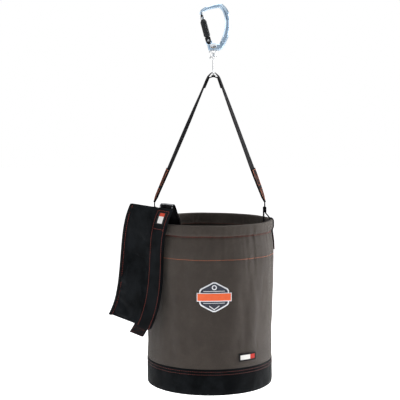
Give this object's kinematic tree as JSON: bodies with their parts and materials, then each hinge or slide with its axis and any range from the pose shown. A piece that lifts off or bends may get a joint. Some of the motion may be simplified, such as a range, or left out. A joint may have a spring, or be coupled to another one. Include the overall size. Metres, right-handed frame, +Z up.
{
  "type": "hoist bucket for tools",
  "caption": "Round canvas tool bucket with a black base, hung by a webbing strap from a swivel carabiner with a locking gate; its top cover hangs folded over the rim.",
  "frame": {"origin": "inside of the carabiner's crown, where it bears on the hook or rail that it hangs from", "axes": "+Z up along the hang line, -Y towards the front with the badge, +X to the right as seen from the front"},
  "size_m": [0.4236, 0.327, 0.9553],
  "materials": {
    "polished_alloy": "polished, faintly blue",
    "steel": "plated, satin",
    "bright_steel": "polished",
    "bronze": "plain bearing bronze",
    "black_alloy": "black anodised, satin",
    "black_webbing": "ribbed polyester webbing, satin",
    "canvas": "heavy grey duck canvas, matte",
    "black_cover": "coated black fabric, satin",
    "hoop_plastic": "extruded, natural white",
    "board_plastic": "moulded, matte",
    "badge": "moulded soft badge",
    "woven": "woven label, red and white",
    "loop_pile": "grey loop pile"
  },
  "bodies": {
    "carabiner": {"carabiner_frame": "polished_alloy", "gate_rivet": "bright_steel"},
    "gate": {"gate_arm": "black_alloy", "gate_collar": "bright_steel", "gate_latch_pin": "bright_steel", "gate_spring": "steel", "gate_plunger": "steel", "lock_spring": "steel"},
    "sleeve": {"lock_sleeve": "black_alloy"},
    "swivel": {"swivel_post": "steel", "swivel_washer": "bronze", "swivel_body": "bright_steel", "swivel_eye": "steel"},
    "strap": {"strap_leg_left": "black_webbing", "strap_leg_right": "black_webbing", "strap_keeper": "black_webbing", "lower_lap_left": "black_webbing", "lower_lap_right": "black_webbing"},
    "bucket": {"canvas_body": "canvas", "rim_hoop": "hoop_plastic", "base_cover": "black_cover", "base_board": "board_plastic", "inner_tail_left": "black_webbing", "inner_tail_right": "black_webbing", "outer_tail_left": "black_webbing", "outer_tail_right": "black_webbing", "front_badge": "badge", "woven_label": "woven", "back_seam_tape": "canvas", "cover_hanger": "black_webbing", "cover_hanger_loop_tape": "loop_pile"},
    "cover": {"cover_front": "black_cover", "cover_back": "black_cover", "cover_edge_binding": "black_webbing", "cover_band": "black_webbing", "cover_woven_tag": "woven", "cover_pull_tab": "black_webbing"}
  },
  "joints": [
    {"name": "gate_open", "type": "hinge", "parent": "carabiner", "child": "gate", "pos_m": [-0.02766, 0, -0.07991], "axis": [0, 1, 0], "range_deg": [0, 28], "stiffness_Nm_per_rad": 0.15, "springref_deg": -28.65},
    {"name": "sleeve_twist", "type": "hinge", "parent": "gate", "child": "sleeve", "pos_m": [-0.02766, 0, -0.07991], "axis": [-0.2565, 0, 0.9665], "range_deg": [0, 75], "stiffness_Nm_per_rad": 0.02, "springref_deg": -28.65},
    {"name": "swivel_turn", "type": "hinge", "parent": "carabiner", "child": "swivel", "pos_m": [-0.01497, 0, -0.1], "axis": [0, 0, 1], "continuous": true},
    {"name": "strap_swing", "type": "hinge", "parent": "swivel", "child": "strap", "pos_m": [-0.01497, 0, -0.1622], "axis": [0, 1, 0], "range_deg": [-60, 60]},
    {"name": "bucket_tilt", "type": "hinge", "parent": "strap", "child": "bucket", "pos_m": [-0.02397, 0, -0.4992], "axis": [1, 0, 0], "range_deg": [-50, 80]},
    {"name": "cover_swing", "type": "hinge", "parent": "bucket", "child": "cover", "pos_m": [-0.13451, -0.12277, -0.4862], "axis": [-0.7431, 0.6691, 0], "range_deg": [0, 75]}
  ]
}
